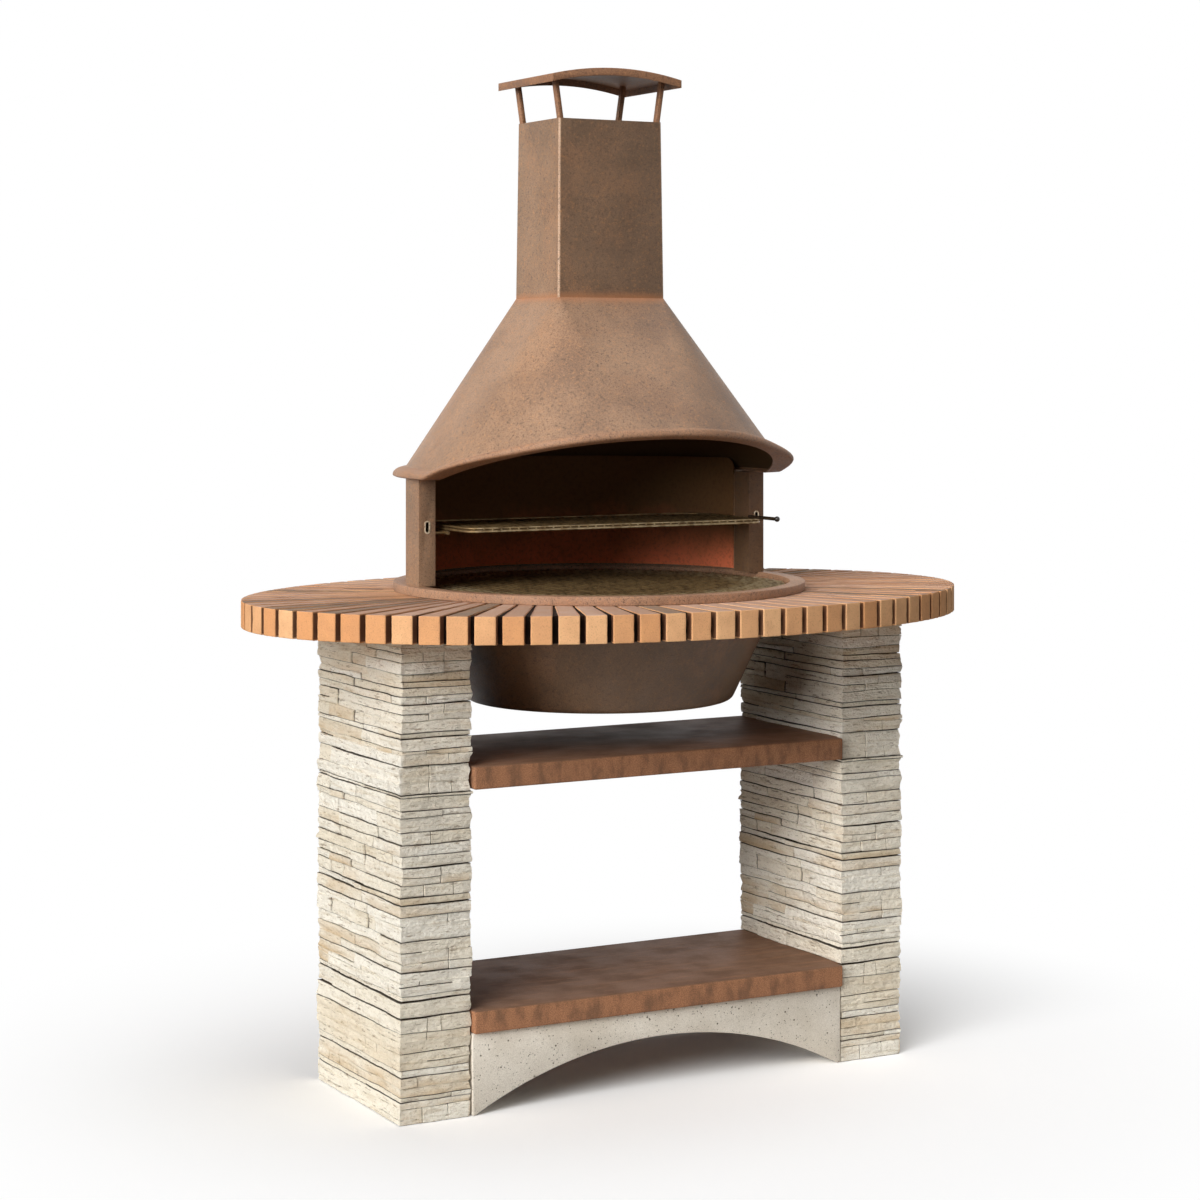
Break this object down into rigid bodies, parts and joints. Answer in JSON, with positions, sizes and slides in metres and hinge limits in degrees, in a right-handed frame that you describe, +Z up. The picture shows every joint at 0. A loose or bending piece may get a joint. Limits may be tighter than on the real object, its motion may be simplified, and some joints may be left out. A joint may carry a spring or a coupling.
{
  "type": "outdoor masonry barbecue",
  "caption": "Free-standing masonry barbecue: stone-faced pillars, shelves, oval brick worktop, round steel brazier, open-fronted firebox with pull-out grill, and a domed hood with chimney and cap.",
  "frame": {"origin": "on the ground under the middle of the oval worktop", "axes": "+X to the right seen from the front, +Y to the back, +Z up; the fire mouth faces -Y"},
  "size_m": [1.4858, 1.01, 1.946],
  "materials": {
    "cast_stone": "split stone face, matt, cream to beige with grey-brown joints",
    "concrete": "smooth cast concrete with fine dark pores",
    "stained_concrete": "brown stained cast concrete, mottled, with a slight sheen",
    "mortar": "dark raked mortar",
    "firebrick": "fired clay, matt and sandy, orange to tan",
    "rust_brown_steel": "mottled rust-brown heat-proof coat, matt to satin",
    "sooty_steel": "dark red-brown, sooted",
    "grill_wire": "heat-tinted wire, bright where rubbed",
    "cast_grate": "raw cast iron",
    "fixings": "plain zinc-plated steel",
    "handle_steel": "dark drawn steel rod",
    "knob_plastic": "black moulded heat-proof plastic"
  },
  "bodies": {
    "barbecue": {"left_pillar": "cast_stone", "right_pillar": "cast_stone", "arch_panel": "concrete", "lower_shelf": "stained_concrete", "middle_shelf": "stained_concrete", "worktop_core": "mortar", "bricks_front_right": "firebrick", "bricks_right_front": "firebrick", "bricks_right_back": "firebrick", "bricks_back_right": "firebrick", "bricks_back_left": "firebrick", "bricks_left_back": "firebrick", "bricks_left_front": "firebrick", "bricks_front_left": "firebrick", "brazier_bowl": "rust_brown_steel", "brazier_ring": "rust_brown_steel", "left_post": "rust_brown_steel", "right_post": "rust_brown_steel", "left_slot_rim": "fixings", "right_slot_rim": "fixings", "firebox_wall": "rust_brown_steel", "wall_bolts": "fixings", "heat_shield": "sooty_steel", "shield_spacers": "fixings", "shield_screws": "fixings", "left_grill_rail": "grill_wire", "right_grill_rail": "grill_wire", "hood": "rust_brown_steel", "hood_lip": "rust_brown_steel", "flue_spigot": "sooty_steel", "chimney": "rust_brown_steel", "cap_legs": "rust_brown_steel", "cap": "rust_brown_steel"},
    "pull_out_grill": {"upper_grill": "grill_wire", "handle_rod": "handle_steel", "handle_knob": "knob_plastic"},
    "lift_out_grill": {"lower_grill": "grill_wire"},
    "fire_grate": {"charcoal_grate": "cast_grate"}
  },
  "joints": [
    {"name": "upper_grill_slide", "type": "slide", "parent": "barbecue", "child": "pull_out_grill", "axis": [0, -1, 0], "range_m": [-0.01, 0.14]},
    {"name": "lower_grill_lift", "type": "slide", "parent": "barbecue", "child": "lift_out_grill", "axis": [0, 0, 1], "range_m": [0, 0.08]},
    {"name": "charcoal_grate_lift", "type": "slide", "parent": "barbecue", "child": "fire_grate", "axis": [0, 0, 1], "range_m": [0, 0.12]}
  ]
}
